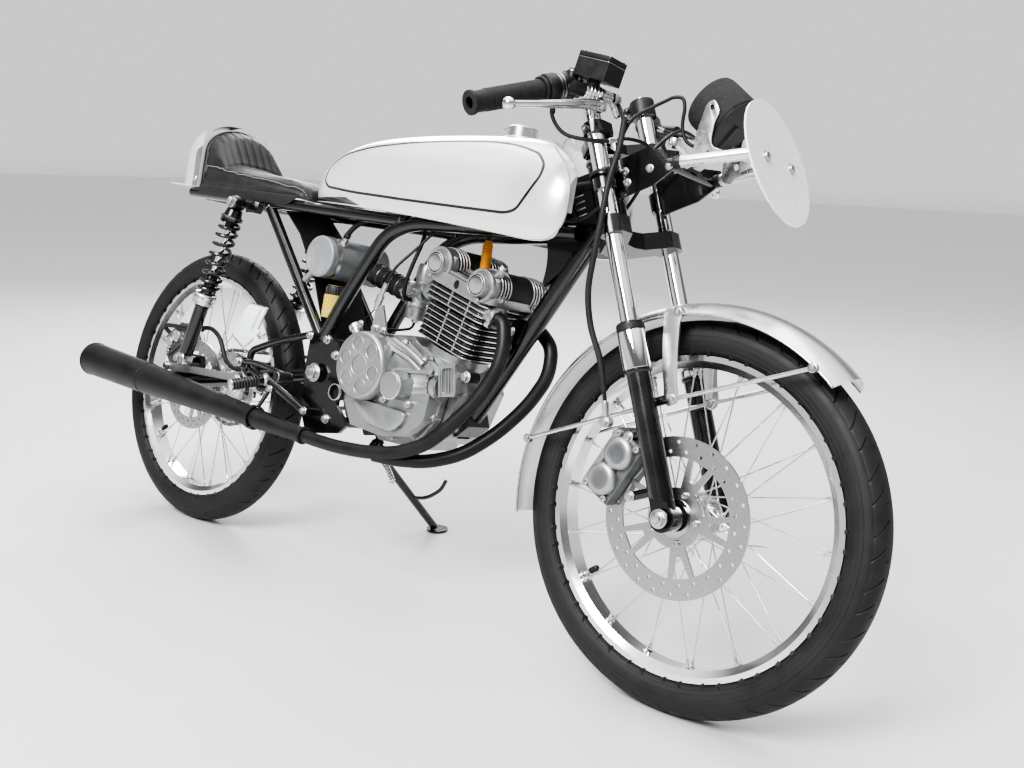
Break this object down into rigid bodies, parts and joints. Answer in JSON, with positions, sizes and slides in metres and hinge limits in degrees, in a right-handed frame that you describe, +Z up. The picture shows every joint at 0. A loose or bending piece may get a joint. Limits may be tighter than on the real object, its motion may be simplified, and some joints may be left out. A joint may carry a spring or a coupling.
{
  "type": "cafe racer motorcycle",
  "caption": "Light cafe racer motorcycle with a long alloy tank, humped single seat, clip-on bars and a low megaphone, leaning on its side stand.",
  "frame": {"origin": "middle of the parked machine's bounding box, on the ground", "axes": "+X forward along the machine, +Y to the rider's left, +Z up from the ground; the machine leans 11.47 degrees to its left on the stand"},
  "size_m": [1.7988, 0.603, 0.9566],
  "materials": {
    "silver_paint": "pearl",
    "black_paint": "satin",
    "black_fins": "satin",
    "satin_alloy": "satin",
    "polished_alloy": "polished",
    "chrome": "polished",
    "steel": "brushed",
    "chain_steel": "oily",
    "tyre": "matt",
    "rubber": "matt",
    "black_plastic": "satin",
    "plate_white": "gloss",
    "bottle": "translucent",
    "leather": "stitched",
    "exhaust_black": "matt"
  },
  "bodies": {
    "frame": {"frame_spine": "black_paint", "main_tubes": "black_paint", "seat_rails": "black_paint", "rear_diagonals": "black_paint", "pivot_plates": "black_paint", "swingarm": "black_paint", "rear_axle": "steel", "shock_absorbers": "black_paint", "crankcase": "satin_alloy", "cylinder": "black_fins", "cylinder_head": "black_fins", "clutch_cover": "satin_alloy", "generator_cover": "satin_alloy", "carburettor": "satin_alloy", "air_canister": "satin_alloy", "catch_bottle": "bottle", "exhaust_headers": "exhaust_black", "megaphone": "exhaust_black", "silencer_hanger": "steel", "fuel_tank": "silver_paint", "fuel_cap": "satin_alloy", "seat_pad": "leather", "tail_cowl": "silver_paint", "rear_caliper": "satin_alloy", "drive_chain": "chain_steel", "foot_controls": "black_paint", "torque_bar": "satin_alloy", "heel_guard": "plate_white", "cable_bracket": "steel", "clutch_cable": "rubber", "throttle_cable": "rubber", "fuel_tap": "steel", "fuel_hose": "rubber", "inner_fender": "black_plastic"},
    "steering": {"fork_yokes": "satin_alloy", "fork_tubes": "chrome", "fork_sliders": "black_paint", "front_axle": "steel", "front_fender": "polished_alloy", "fender_stays": "polished_alloy", "front_caliper": "satin_alloy", "clip_on_bars": "black_paint", "grips": "rubber", "bar_controls": "black_plastic", "bar_levers": "polished_alloy", "brake_hose": "rubber", "plate_bracket": "satin_alloy", "number_plate": "plate_white", "gauge": "black_plastic"},
    "front_wheel": {"front_tyre": "tyre", "front_rim": "polished_alloy", "front_hub": "polished_alloy", "front_disc": "steel"},
    "rear_wheel": {"rear_tyre": "tyre", "rear_rim": "polished_alloy", "rear_hub": "polished_alloy", "rear_disc": "steel", "rear_sprocket": "steel"},
    "side_stand": {"side_stand": "black_paint"}
  },
  "joints": [
    {"name": "steering_turn", "type": "hinge", "parent": "frame", "child": "steering", "pos_m": [0.35921, -0.01458, 0.73681], "axis": [-0.3963, 0.1826, 0.8998], "range_deg": [-25, 25]},
    {"name": "front_wheel_spin", "type": "hinge", "parent": "steering", "child": "front_wheel", "pos_m": [0.6075, -0.10589, 0.28679], "axis": [0, 0.98, -0.1989], "continuous": true},
    {"name": "rear_wheel_spin", "type": "hinge", "parent": "frame", "child": "rear_wheel", "pos_m": [-0.6075, -0.10589, 0.28679], "axis": [0, 0.98, -0.1989], "continuous": true},
    {"name": "side_stand_fold", "type": "hinge", "parent": "frame", "child": "side_stand", "pos_m": [-0.1835, -0.01471, 0.21319], "axis": [-0.0191, 0.7746, 0.6321], "range_deg": [0, 93.9]}
  ]
}
